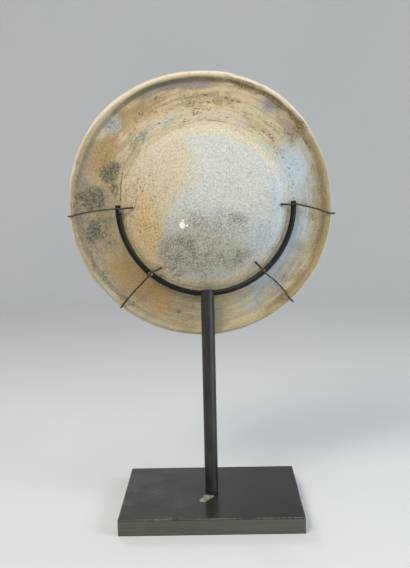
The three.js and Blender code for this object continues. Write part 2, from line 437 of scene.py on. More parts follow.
dents = 0.5 * cloud(flat, 52, seed=3) + 0.22 * cloud(flat, 17, seed=4, layers=2)
ring_phase = 2 * math.pi * radius / RING_PITCH + 1.5 * cloud(flat, 60, seed=5)
rings = RING_DEPTH * np.sin(ring_phase) * smooth(radius, 30, 80)
ring_share = 0.35 + 0.65 * near(50, 0.9, 1.8)
foot_ring = (0.5 * bell(radius, FOOT_RIDGE, 2.6) - 0.45 * bell(radius, FOOT_GROOVE, 0.9)) * ring_share
cracks = sum(depth * groove(flat, line, width) for line, width, depth in CRACKS)
pitted = np.max([depth * groove(flat, line, width) for line, width, depth in pit_rows], axis=0)
chipped = smooth(1 - angle_from(angle, CHIP_ANGLE) / math.radians(CHIP_HALF), 0, 0.3)
chipped = chipped * smooth(radius, LIP_INNER - 3, LIP_INNER + 1)
rough = 0.9 * chipped * cloud(flat, 4.5, seed=8, layers=2)
lip_unevenness = 0.35 * cloud(flat, 14, seed=9) * smooth(radius, LIP_INNER - 4, LIP_INNER + 2)
marks = np.where(outside, rings + foot_ring - cracks - PIT_SINK * pitted, INSIDE_RINGS * rings)
wear = dents + lip_unevenness + rough + marks
wear[0], wear[-1] = wear[0].mean(), wear[-1].mean()
normals = facing(bowl_grid)
if normals[DOME_ROW, :, FRONT].sum() > 0:
    normals = -normals
normals[0], normals[-1] = (0, -1, 0), (0, 1, 0)
bowl_worn = bowl_grid + WEAR_SHARE * wear[..., None] * normals
print("wear from", np.round(wear.min(), 2), "to", np.round(wear.max(), 2), "mm")

# %% [markdown]
# Stains as soft dabs
#
# Buried clay takes colour in clouds: a grey-white veil, pale bloom, ochre, dark smoke
# from the kiln, and brown soil in the crook of the lip. Each is painted here as a few
# soft dabs and bands with ragged edges, at places read off the bowl. Some of them paint
# light and shade as well: painted shade in the crook and under the lip, on the lower
# right flange and on the flange away from its top, and painted highlights on the lip and
# the foot ridge. They only say how much there is. The colour and the fine grain come
# later, in the finish.

# %% Paint the stains


def dab(x, z, half_width, half_height, strength=1.0, tilt=0.0, soft=0.7, ragged=0.3):
    """Strength inside an oval round (x, z), fading over the share soft each side of its
    edge. A cloud shifts the edge in and out."""
    shift = ragged * min(half_width, half_height) * drift
    dx, dz = flat[..., 0] - x + shift[..., 0], flat[..., UP] - z + shift[..., 1]
    across, upright = turned(dx, dz, -tilt)
    reach = np.hypot(across / half_width, upright / half_height)
    return strength * (1 - smooth(reach, 1 - soft, 1 + soft))


def band(middle, width, start, end, strength=1.0, ragged=3.0):
    """Strength along a ring of the bowl at radius middle, from one angle to another, with
    ends that fade over 14 degrees. A cloud shifts it in and out by about ragged."""
    half = (end - start) / 2
    across = 1 - smooth(np.abs(radius - middle + ragged * drift[..., 0]), 0.4 * width, 1.2 * width)
    return strength * across * near((start + end) / 2, math.radians(half - 8), math.radians(half + 6))


def strongest(*layers):
    """The strongest layer wins at each point."""
    return np.clip(np.max(layers, axis=0), 0, 1)


drift = np.stack([cloud(flat, 15, seed=21, layers=3), cloud(flat, 15, seed=22, layers=3)], axis=-1)

# A grey-white veil covers the right two thirds of the dome. Its left edge is a line of
# stops: height, place across, and how soft the edge is there
VEIL_EDGE = np.array([
    (-86, -38, 4), (-74, -53, 3), (-60, -55, 2.5), (-40, -52, 2.5), (-25, -46, 5), (-10, -40, 9),
    (5, -33, 15), (20, -22, 22), (38, -9, 25), (55, -14, 18), (72, -22, 9), (90, -10, 8),
])
edge_across, edge_soft = (np.interp(flat[..., UP], VEIL_EDGE[:, 0], VEIL_EDGE[:, i]) for i in (1, 2))
past_edge = smooth(flat[..., 0] - edge_across + 0.35 * edge_soft * drift[..., 0], -edge_soft, edge_soft)
veil_reach = 80 + 9 * near(0, 0.5, 1.0)
on_dome = 1 - smooth(radius - veil_reach + 3 * drift[..., 1], -6, 6)
patchy = 0.97 + 0.12 * cloud(flat, 26, seed=23, layers=2)
patchy -= 0.1 * dab(2, 22, 44, 12, tilt=-12) + 0.3 * dab(0, -64, 64, 18)

# How far the clay is darker: on the flange away from its top, partly dull clay and partly painted shade
# where the light from above falls less, and on the low part of the dome
dulled_and_shaded = smooth(radius, 90, 104) * smooth(angle_from(angle, 92), 0.75, 1.5)
dulled_and_shaded *= 1 - 0.55 * near(-62, 0.45, 0.85)
dulled_and_shaded = np.maximum(dulled_and_shaded, dab(-6, -50, 66, 34, 0.9) * (1 - smooth(radius, 84, 92)))

# The bare lip: worn pale, wide at the top and at the left. Its pale colour is also a painted highlight,
# strongest at the upper left where the light comes from
lit_side = 0.6 + 0.4 * near(105, 1.0, 1.7) + 0.3 * near(-50, 0.6, 1.4)
bare_width = 1.7 + 5.6 * near(92, 0.5, 1.1) + 1.5 * near(200, 0.6, 1.4)
worn_lit_lip = smooth(radius, RIM_RADIUS - bare_width, RIM_RADIUS - 0.5 * bare_width) * smooth(side, 0.1, 0.6)
worn_lit_lip *= np.clip(lit_side, 0, 1)
chip_floor = chipped * (1 - smooth(radius, RIM_RADIUS - 3.4, RIM_RADIUS - 1.8))
# A painted highlight along the raised foot ridge, strongest at the upper right
ridge_highlight = bell(radius, FOOT_RIDGE, 3.2) * outside * ring_share

# %% Stains on the outside
on_outside = {
    "veil": strongest(
        patchy * past_edge * on_dome, dab(-52, 52, 30, 24, 0.25), band(112, 20, -76, -30, 0.4),
        band(100, 10, 60, 140, 0.35),
    ),
    # Pale blue bloom: the right flange, the foot ring beside it, and spots at the upper left
    "pale": strongest(
        dab(98, 36, 21, 40, 0.85, soft=0.8), dab(105, -24, 12, 24, 0.65), band(82, 9, -42, 24, 0.85),
        band(103, 9, -62, -8, 0.8), band(92, 5, 20, 52, 0.5), dab(58, -36, 20, 22, 0.5, tilt=35),
        dab(-100, 90, 12, 9, 0.6, tilt=40, soft=0.4), dab(-112, 82, 7, 4, 0.5, tilt=55),
        dab(-46, 93, 26, 5, 0.4, tilt=33), dab(70, 108, 12, 8, 0.4, tilt=-40), dab(100, -52, 10, 10, 0.6),
        dab(10, 8, 26, 22, 0.25), dab(66, -96, 34, 12, 0.35, tilt=38),
    ),
    # The left of the dome, the upper flange, and the lower left flange
    "ochre": strongest(
        dab(-66, -22, 24, 50, 0.9, tilt=8), dab(-112, 60, 15, 34, 0.9, tilt=-30),
        dab(-74, 102, 38, 12, 0.8, tilt=36), band(115, 22, -152, -108, 1.0), band(117, 12, 66, 112, 0.35),
        dab(98, 78, 20, 16, 0.55, tilt=-44), band(141, 5, -66, 34, 0.75), dab(4, -80, 34, 8, 0.35),
        dab(-104, 40, 14, 26, 0.5, tilt=-20), band(122, 10, 150, 215, 0.4),
    ),
    # Smoke from the firing, and dark mould: the left flange and the lower dome
    "smoke": strongest(
        dab(-127, 11, 15, 13, 1.0, soft=0.5), dab(-125, -27, 12, 12, 0.9),
        dab(-104, 41, 12, 11, 0.85, tilt=30, soft=0.4), band(124, 24, 168, 206, 0.38),
        dab(-100, 90, 13, 10, 0.4, tilt=40), dab(-72, 74, 20, 5, 0.45, tilt=45), dab(-84, 14, 8, 26, 0.25),
        dab(-100, 20, 6, 10, 0.4), dab(-28, -54, 29, 22, 0.45, soft=0.3), dab(-6, -58, 40, 18, 0.42),
        dab(8, -22, 34, 20, 0.3), dab(32, -14, 14, 8, 0.5), dab(36, -56, 16, 8, 0.45, tilt=35),
        dab(64, -34, 12, 16, 0.2), dab(-33, -75, 6, 2.5, 0.8), dab(-34, -118, 3.5, 2.5, 0.8),
        dab(-16, -113, 3, 2, 0.5), dab(86, -84, 6, 5, 0.4), band(137, 4, 196, 236, 0.5),
        dab(80, 68, 30, 14, 0.2, tilt=-45),
    ),
    # Purple-grey without specks: painted shade under the lip and on the lower right flange, and a
    # purple-grey stain in a few soft clouds
    "dusk_and_shade": strongest(
        band(133, 5.5, 78, 118, 0.85), dab(-59, 124, 14, 5, 0.8, tilt=26),
        dab(-128, 60, 4, 16, 0.5, tilt=-25), dab(73, 111, 13, 9, 0.8, tilt=-40),
        dab(88, 94, 26, 12, 0.4, tilt=-44), dab(-136, 28, 6, 14, 0.9, tilt=8),
        band(131, 7, 152, 238, 0.45), dab(104, -50, 10, 9, 0.65), dab(87, -87, 17, 10, 0.4, tilt=42),
        band(112, 26, -84, -28, 0.2), band(124, 10, -64, -22, 0.5), band(134, 6, -60, 20, 0.3),
    ),
    # The dark line in the crook of the lip: grime and painted shade under the overhanging lip, strongest at
    # the top
    "crook_grime_and_shade": strongest(
        band(137.2, 3, 76, 128, 1.0, ragged=0.7), band(137, 2.5, 120, 250, 0.5, ragged=0.7),
        band(137, 2.5, -60, 20, 0.4, ragged=0.7),
    ),
    # Brown soil in the crook of the lip and the scar of the chip
    "soil": strongest(
        band(137, 3.5, 24, 66, 0.9), dab(44, 131, 17, 5, 1.0, tilt=-20),
        dab(106, 84, 9, 20, 0.8, tilt=-38), band(136, 4.5, -24, 30, 0.4),
        dab(102, -81, 8, 5, 0.6, tilt=40), dab(84, -106, 9, 4, 0.6, tilt=38), dab(-53, 119, 3, 2, 1.0),
        dab(-143, 51, 2.5, 1.5, 1.0), dab(-101, 22, 5, 9, 0.5), band(118, 9, 76, 104, 0.3),
        dab(-76, -98, 14, 5, 0.3, tilt=-40),
    ),
    "dulled_and_shaded": dulled_and_shaded,
    # Dark specks on the left of the dome
    "peppered": strongest(dab(-68, 0, 20, 52, 0.9), dab(-88, 30, 20, 24, 0.8)),
    # Wear from the cells above. The lip has no pits
    "cracked": sum(depth * groove(flat, line, 1.3 * width) for line, width, depth in CRACKS),
    "pitted": pitted - 2 * smooth(radius, 131, 136),
    # A splash of white with two drops beside it
    "spot": strongest(dab(-25.4, -19.1, 2.9, 3.9), dab(-20, -19.4, 1.4, 1.2), dab(-24, -13.5, 1.2, 1)),
}

# %% [markdown]
# The inside, and the readings
#
# The inside is out of the photo's sight, so it is plainer: one smoke cloud, some bloom
# and a ring of soil. Both sides become one reading for each stain, a number that every
# corner of the mesh carries. Stains are rubbed off where the lip is worn.

# %% Stains on the inside
on_inside = {
    "veil": strongest(dab(-30, 40, 60, 50, 0.6), dab(60, -40, 50, 50, 0.5)),
    "pale": strongest(dab(-60, 66, 30, 24, 0.6), dab(20, -110, 60, 14, 0.5), dab(96, 10, 14, 40, 0.4)),
    "ochre": strongest(dab(60, 60, 60, 40, 0.8), dab(-70, -60, 50, 50, 0.7), band(120, 16, 60, 250, 0.5)),
    "smoke": strongest(
        dab(34, 10, 46, 26, 0.35, tilt=30), dab(-60, 96, 30, 12, 0.4), band(100, 8, -60, 20, 0.35),
    ),
    "soil": strongest(
        dab(-14, -10, 32, 20, 0.4, tilt=25), band(96, 6, 150, 300, 0.4), dab(60, -90, 20, 12, 0.5),
    ),
    "dulled_and_shaded": dulled_and_shaded,
    "peppered": 0.3,
    "pitted": -0.5,
}
readings = {name: np.where(outside, here, on_inside.get(name, 0)) for name, here in on_outside.items()}
# Stains are taken off the pale lip, which is partly worn and partly a painted highlight
for name in ("smoke", "dusk_and_shade", "dulled_and_shaded", "crook_grime_and_shade"):
    readings[name] = readings[name] * (1 - worn_lit_lip)
readings["crook_grime_and_shade"] *= 1 - chip_floor
readings["soil"] *= 1 - 0.8 * worn_lit_lip * (1 - chip_floor)
# The worn lip with its painted highlight, and a painted highlight along the foot ridge
readings["worn_and_lit"] = np.maximum(worn_lit_lip * (1 - 0.9 * chip_floor), 0.4 * ridge_highlight)
readings["flange"] = smooth(radius, 86, 98)
bowl = skin("bowl_clay", bowl_worn, ["bowl"], readings)
print("stained share of the outside:", {k: round(float(v[outside].mean()), 2) for k, v in readings.items()})

# %% [markdown]
# Rods and wires
#
# A rod is a circle carried along a path. At each step the circle lies across the path:
# one direction in it is a side that never lines up with the path, and the other is
# square to both. The radius may change along the path, and each end closes with a few
# shrinking rings, so that a cut end has a small bevel and no sharp disc.

# %% A rod along a path


def rod(path, radius, side_way, sides=16, bevel=0.35, steps=3):
    """Rows of rings: path point + radius (cos t side + sin t other), bevelled at both ends."""
    path = np.asarray(path, float)
    radius = np.broadcast_to(radius, len(path)).astype(float)
    tangent = np.gradient(path, axis=0)
    tangent /= np.linalg.norm(tangent, axis=1, keepdims=True)
    across = np.cross(tangent, np.cross(np.broadcast_to(side_way, path.shape), tangent))
    across /= np.linalg.norm(across, axis=1, keepdims=True)
    other = np.cross(tangent, across)
    turn = np.linspace(0, math.pi / 2, steps + 1)
    inset, drop = 1 - bevel * (1 - np.cos(turn)), bevel * np.sin(turn)
    ends = []
    for end, sign in ((0, -1), (-1, 1)):
        middles = path[end] + sign * radius[end] * (drop[:, None] - bevel) * tangent[end]
        rings = [np.repeat(row[None], len(turn), 0) for row in (across[end], other[end])]
        ends.append((middles, radius[end] * inset, *rings))
    first, last = ends
    middles = np.concatenate([first[0][-1:], first[0][::-1], path[1:-1], last[0], last[0][-1:]])
    sizes = np.concatenate([[0], first[1][::-1], radius[1:-1], last[1], [0]])
    acrosses = np.concatenate([first[2][-1:], first[2], across[1:-1], last[2], last[2][-1:]])
    others = np.concatenate([first[3][-1:], first[3], other[1:-1], last[3], last[3][-1:]])
    t = np.linspace(0, 2 * math.pi, sides, endpoint=False)
    circle = np.cos(t)[None, :, None] * acrosses[:, None] + np.sin(t)[None, :, None] * others[:, None]
    return middles[:, None] + sizes[:, None, None] * circle


def spaced(points, count):
    """The same line with its points evenly spaced along its length."""
    steps = np.linalg.norm(np.diff(points, axis=0), axis=1)
    length = np.concatenate([[0], np.cumsum(steps)])
    at = np.linspace(0, length[-1], count)
    return np.stack([np.interp(at, length, points[:, i]) for i in range(3)], axis=1)


# %% [markdown]
# The cradle rod
#
# It is one round bar of 6 mm, bent to a little more than half a circle, just wider than
# the bowl's foot. A bent bar keeps small waves from the bending, so the path gets a few
# tenths of a millimetre of them, and its cut ends show a narrow bevel.

# %% Cradle rod
ROD_RADIUS = 3.0
CRADLE_RADIUS = FOOT_RADIUS + 1.4 + ROD_RADIUS
CRADLE_LEFT, CRADLE_RIGHT = 178, 362.5
ROD_WAVE = np.array([0.12, 0.048, 0.12])
ROD_Y = FOOT_PLANE_Y - 0.3 - ROD_RADIUS


def on_cradle(degrees, reach=CRADLE_RADIUS, y=ROD_Y):
    """A point at an angle round the dome's middle, at a distance from it."""
    turn = np.radians(degrees)
    across = reach * np.cos(turn)
    return np.stack([across, np.full_like(across, y), BOWL_MIDDLE_Z + reach * np.sin(turn)], axis=-1)


cradle_turns = np.linspace(CRADLE_LEFT, CRADLE_RIGHT, 260)
cradle_path = on_cradle(cradle_turns)
cradle_path += ROD_WAVE * cloud(cradle_path, 30, seed=31)[:, None]
cradle = skin("cradle_bar", rod(cradle_path, ROD_RADIUS, (0, 1, 0), sides=28), ["cradle_rod"])

# %% [markdown]
# The four wires
#
# Each wire lies across the front of the rod, where a bead of braze holds it. Its inner
# end rests on the dome and is filed a little thicker and blunt. Its outer end runs over
# the flange, bends round the lip and grips behind it. The stops are distances from the
# dome's middle and heights over the foot, and a smooth curve passes through them. The
# curve is a Catmull-Rom spline whose steps follow the square root of each distance,
# which keeps it from looping at close stops.

# %% A curve through stops


def through(stops, samples=24):
    """A spline through the stops. Each span is a cubic whose end slopes weigh the
    neighbouring spans by the square roots of their lengths."""
    stops = np.asarray(stops, float)
    padded = np.concatenate([[2 * stops[0] - stops[1]], stops, [2 * stops[-1] - stops[-2]]])
    gaps = np.sqrt(np.linalg.norm(np.diff(padded, axis=0), axis=1))[:, None]
    slopes = np.diff(padded, axis=0) / gaps
    wide = (padded[2:] - padded[:-2]) / (gaps[:-1] + gaps[1:])
    middle = slopes[:-1] - wide + slopes[1:]
    start, leave, arrive = stops[:-1], middle[:-1] * gaps[1:-1], middle[1:] * gaps[1:-1]
    rise = stops[1:] - start
    t = np.linspace(0, 1, samples, endpoint=False)[None, :, None]
    curve = (start[:, None] + leave[:, None] * t + (3 * rise - 2 * leave - arrive)[:, None] * t**2
             + (leave + arrive - 2 * rise)[:, None] * t**3)
    return np.concatenate([curve.reshape(-1, 3), stops[-1:]])


# %% Wires
WIRE_RADIUS, WIRE_STEPS = 0.9, 170
TOUCH, SLACK = 0.3, 0.4
TIP_SWELL, TIP_FROM, TIP_TO = 0.3, 0.07, 0.13
WIRE_WAVE, ENDS_KEPT = 0.12, slice(8, -8)
TIP_INSET, HOOK_SPRING, HOOK_REACH = 15.0, 2.2, 9.0
HOOK_ANGLES = np.radians([80, 50, 20, -10, -40, -70, -95])
WIRES = {
    "upper_left_wire": dict(cross=180.4, tip=179.6, inset=1.13, rim=183.7, bow=-0.3, spring=0),
    "upper_right_wire": dict(cross=0.2, tip=0.4, inset=1, rim=-4.8, bow=0, spring=1),
    "lower_left_wire": dict(cross=229.4, tip=233.2, inset=0.93, rim=230.9, bow=0, spring=0),
    "lower_right_wire": dict(cross=311.1, tip=310.7, inset=1, rim=312.6, bow=1.2, spring=1),
}


def wire_path(cross, tip, inset, rim, bow, spring):
    """Stops as (distance, height, angle): the tip on the dome, over the rod, out to the
    lip on a line that bows sideways, round the lip's oval, and back behind the rim."""
    clear = WIRE_RADIUS + TOUCH + SLACK
    tip_reach = CRADLE_RADIUS - inset * TIP_INSET
    rest = float(outer_height(np.array(tip_reach))) + clear
    over_rod = 2 * TOUCH + 2 * ROD_RADIUS + WIRE_RADIUS
    inside, beyond = CRADLE_RADIUS - ROD_RADIUS, CRADLE_RADIUS + ROD_RADIUS
    halfway = ((tip_reach + inside) / 2, max(rest, over_rod), (tip + cross) / 2)
    stops = [(tip_reach, rest, tip), halfway, (inside, over_rod, cross), (beyond, over_rod, cross)]
    hook_radius, hook_height = lip_point(HOOK_ANGLES, clear, spring * HOOK_SPRING)
    for share in (0.25, 0.5, 0.75):
        sideways = cross + (rim - cross) * share + bow * math.sin(math.pi * share)
        stops.append((beyond + (hook_radius[0] - beyond) * share,
                      over_rod + (hook_height[0] - over_rod) * share, sideways))
    stops += [(r, h, rim) for r, h in zip(hook_radius, hook_height)]
    stops.append((RIM_RADIUS - HOOK_REACH, LIP_BACK - clear, rim))
    distance, height, turn = np.array(stops).T
    return spaced(through(on_bowl(distance, height, np.radians(turn))), WIRE_STEPS)


wires = {}
for name, bends in WIRES.items():
    path = wire_path(**bends)
    share = np.linspace(0, 1, len(path))
    path[ENDS_KEPT] += WIRE_WAVE * cloud(path[ENDS_KEPT], 9, seed=33)[:, None]
    tip_swell = TIP_SWELL * (1 - smooth(share, TIP_FROM, TIP_TO))
    thick = WIRE_RADIUS * (1 + tip_swell + 0.05 * np.sin(40 * share))
    cross = math.radians(bends["cross"])
    sideways = np.array([-math.sin(cross), 0, math.cos(cross)])
    wires[name] = skin(name + "_bent", rod(path, thick, sideways, sides=12), [name])
    low, high = node_box(name)
    print("   differs from the packed wire by", np.round(path.min(0) - WIRE_RADIUS - low, 2),
          np.round(path.max(0) + WIRE_RADIUS - high, 2), "mm")

# %% [markdown]
# Braze beads
#
# Where a wire crosses the rod, a little silver braze has run along the joint and set.
# A bead is a ball stretched along the rod and pressed against it, and a cloud makes it
# lumpy. The paint has rubbed off it, so it shows as a pale spot.

# %% Braze beads


def lump(middle, size, seed, roughness=0.25, rows=22, columns=30, tilt=0.0):
    """A ball with radii size, turned by tilt about Y, its skin moved in and out by a cloud."""
    down = np.linspace(0, math.pi, rows)[:, None]
    round_it = np.linspace(0, 2 * math.pi, columns, endpoint=False)[None, :]
    ball = np.stack([np.sin(down) * np.cos(round_it), np.sin(down) * np.sin(round_it),
                     np.cos(down) * np.ones_like(round_it)], axis=-1)
    ball = ball * (1 + roughness * cloud(ball, 0.8, seed, layers=2))[..., None] * np.array(size)
    x, z = turned(ball[..., 0], ball[..., UP], tilt)
    return np.stack([x, ball[..., FRONT], z], axis=-1) + np.array(middle)


BEADS = {
    "upper_left_braze": (-178.6, -2.6, (1.3, 1.3, 2.5), 0),
    "upper_right_braze": (0.2, 3.2, (2.6, 1.2, 1.1), 0),
    "lower_left_braze": (229.6, -0.4, (2.9, 1.5, 1.9), -38),
    "lower_right_braze": (311.3, -0.8, (1.8, 1.1, 1.4), 40),
}
beads = []
for seed, (name, (turn, beyond, size, tilt)) in enumerate(BEADS.items()):
    middle = on_cradle(np.array(turn), CRADLE_RADIUS + beyond, ROD_Y - ROD_RADIUS + 0.3)
    beads.append(skin(name, lump(middle, size, 40 + seed, tilt=tilt)))

# %% [markdown]
# The post
#
# A round bar stands on the plate. Its end is bevelled, and its back has a saddle for
# the cradle rod. The saddle isn't cut by a boolean here. Near the top the rings lie
# close together, and each point that would be inside the rod moves forward on to the
# rod's skin, which is the same cut written as a formula.

# %% Post
POST_RADIUS = 7.5
POST_Y = -4.5
PLATE_TOP = 18.0
POST_OVER_ROD, SADDLE_SPAN, SADDLE_GAP = 2.0, 14.0, 0.1
post_top = BOWL_MIDDLE_Z - CRADLE_RADIUS + ROD_RADIUS + POST_OVER_ROD
saddle_from = post_top - SADDLE_SPAN
plain_part = np.linspace(PLATE_TOP, saddle_from, 60, endpoint=False)
heights = np.concatenate([plain_part, np.linspace(saddle_from, post_top, 44)])
post_path = np.stack([0 * heights, np.full_like(heights, POST_Y), heights], axis=-1)
post_grid = rod(post_path, POST_RADIUS, (1, 0, 0), sides=96, bevel=0.09)
rod_depth = ROD_RADIUS + SADDLE_GAP
from_line = np.hypot(post_grid[..., 0], post_grid[..., UP] - BOWL_MIDDLE_Z) - CRADLE_RADIUS
under_rod = ROD_Y - np.sqrt(np.clip(rod_depth**2 - from_line**2, 0, None))
inside_rod = (np.abs(from_line) < rod_depth) & (post_grid[..., FRONT] > under_rod)
post_grid[..., FRONT] = np.where(inside_rod, under_rod, post_grid[..., FRONT])
post = skin("post_bar", post_grid, ["post"])

# %% [markdown]
# The plate
#
# The plate is flat steel with broken edges. Its skin is a stack of outlines: from the
# middle of the underside out to the edge, up the side, and back to the middle of the
# top. The outline is a rectangle with tiny round corners. Rings close to each edge keep
# the flat faces looking flat, because smooth shading blends across a face's corners.

# %% Plate
plate_low, plate_high = node_box("base_plate")
EDGE_ROUND = 0.8


def rectangle(inset, per_side=40):
    """Points round the plate's outline, inset all round, with round corners."""
    half = (plate_high - plate_low)[:2] / 2 - inset
    corner = max(1.2 - inset, 0.15)
    quarter = np.linspace(0, math.pi / 2, 5)
    turns = np.concatenate([quarter + i * math.pi / 2 for i in range(4)])
    middles = np.repeat(np.array([(1, 1), (-1, 1), (-1, -1), (1, -1)]), 5, axis=0) * (half - corner)
    bends = middles + polar(corner, turns)
    pairs = zip(bends, np.roll(bends, -1, axis=0))
    share = np.linspace(0, 1, per_side, endpoint=False)[:, None]
    runs = [a + (b - a) * share if np.linalg.norm(b - a) > 5 else a[None] for a, b in pairs]
    return np.concatenate(runs)


curve = np.linspace(0, math.pi / 2, 6)
insets = np.concatenate([[60, 30, 12, 6, 3, 1.7, EDGE_ROUND + 0.1], EDGE_ROUND * (1 - np.sin(curve))])
rises = np.concatenate([[0] * 7, EDGE_ROUND * (1 - np.cos(curve))])
insets = np.concatenate([insets, insets[::-1]])
rises = np.concatenate([rises, plate_high[UP] - rises[::-1]])
outline = np.stack([np.pad(rectangle(inset), ((0, 0), (0, 1)), constant_values=rise)
                    for inset, rise in zip(insets, rises)])
caps = [np.full((1, outline.shape[1], 3), (0, 0, level)) for level in (0.0, plate_high[UP])]
plate_grid = np.concatenate([caps[0], outline, caps[1]])
plate_grid[..., UP] += 0.04 * cloud(plate_grid, 40, seed=51) * (plate_grid[..., UP] > 1)
from_edge = np.min((plate_high - np.abs(plate_grid))[..., :2], axis=-1)
front_edge = plate_grid[..., FRONT] < 0
high_up = smooth(plate_grid[..., UP], PLATE_TOP - 0.7, PLATE_TOP - 0.3)
smear = bell(plate_grid[..., 0], -40, 7) * (1 - smooth(from_edge, 1, 8)) * front_edge
rubbed = high_up * np.maximum((1 - smooth(from_edge, 0.7, 1.6)) * (0.35 + 0.4 * front_edge), 0.8 * smear)
plate = skin("plate_slab", plate_grid, ["base_plate"], {"rubbed": rubbed})

# %% [markdown]
# The residue at the post's foot
#
# A crust of old adhesive lies on the plate against the left front of the post. It is a
# thin mound whose outline bulges unevenly: a fan of points round a middle, with the
# reach of each direction given by a few named bulges, and a rough, low top.

# %% Residue
RESIDUE_MIDDLE = (-4.6, -19.0)
BULGES = [(-126, 38, 9.5), (40, 30, 4.5), (108, 36, 5.0)]


def mound(middle, base, bulges, height, rings=16, columns=60):
    """A low dome: reach by direction is a base plus bulges, height falls to the rim."""
    turns = np.linspace(0, 2 * math.pi, columns, endpoint=False)
    reach = base + sum(far * bell(angle_from(turns, at), 0, math.radians(wide)) for at, wide, far in bulges)
    reach = reach * np.linspace(0, 1, rings)[:, None]
    ground = np.array(middle) + polar(reach, turns)
    lumpy = 1 + 0.55 * cloud(np.pad(ground, ((0, 0), (0, 0), (0, 1))), 2.6, seed=61, layers=2)
    top = height * (1 - np.linspace(0, 1, rings)[:, None] ** 3) * lumpy
    top = np.maximum(np.concatenate([np.full_like(top[:1], top[0].mean()), top[1:]]), 0.02)
    upper = np.concatenate([ground, (PLATE_TOP + top)[..., None]], axis=-1)
    foot = np.full((1, columns, 3), (*middle, PLATE_TOP - 0.2))
    return np.concatenate([upper, foot])


residue = skin("post_foot_residue", mound(RESIDUE_MIDDLE, 4.2, BULGES, 0.9))

# %% [markdown]
# A small language for finishes
#
# A finish is a net of nodes, and a net is easier to read as a formula. A reading wraps
# one output of a node. Adding or multiplying readings adds the Math nodes, so a line
# such as 0.4 * grain + patch builds two of them. All other nodes come from one method,
# which sets a node's own settings first and then fills or links its sockets.

# %% Readings and finishes
FLANGE_MIDDLE = 110.0


def tone(red, green, blue):
    """A colour as a screen shows it, 0 to 255, turned into the light it stands for."""
    share = np.array([red, green, blue]) / 255
    light = np.where(share <= 0.04045, share / 12.92, ((share + 0.055) / 1.055) ** 2.4)
    return (*map(float, light), 1.0)


class Reading:
    """A number, colour or direction that varies over a surface."""

    def __init__(self, finish, socket):
        self.finish = finish
        self.socket = socket

    def math(self, operation, *values):
        return self.finish.node("ShaderNodeMath", {"operation": operation}, dict(enumerate(values)))

    def __add__(self, other):
        return self.math("ADD", self, other)

    def __mul__(self, other):
        return self.math("MULTIPLY", self, other)

    def __sub__(self, other):
        return self.math("SUBTRACT", self, other)

    def __rsub__(self, other):
        return self.math("SUBTRACT", other, self)

    __radd__ = __add__
    __rmul__ = __mul__


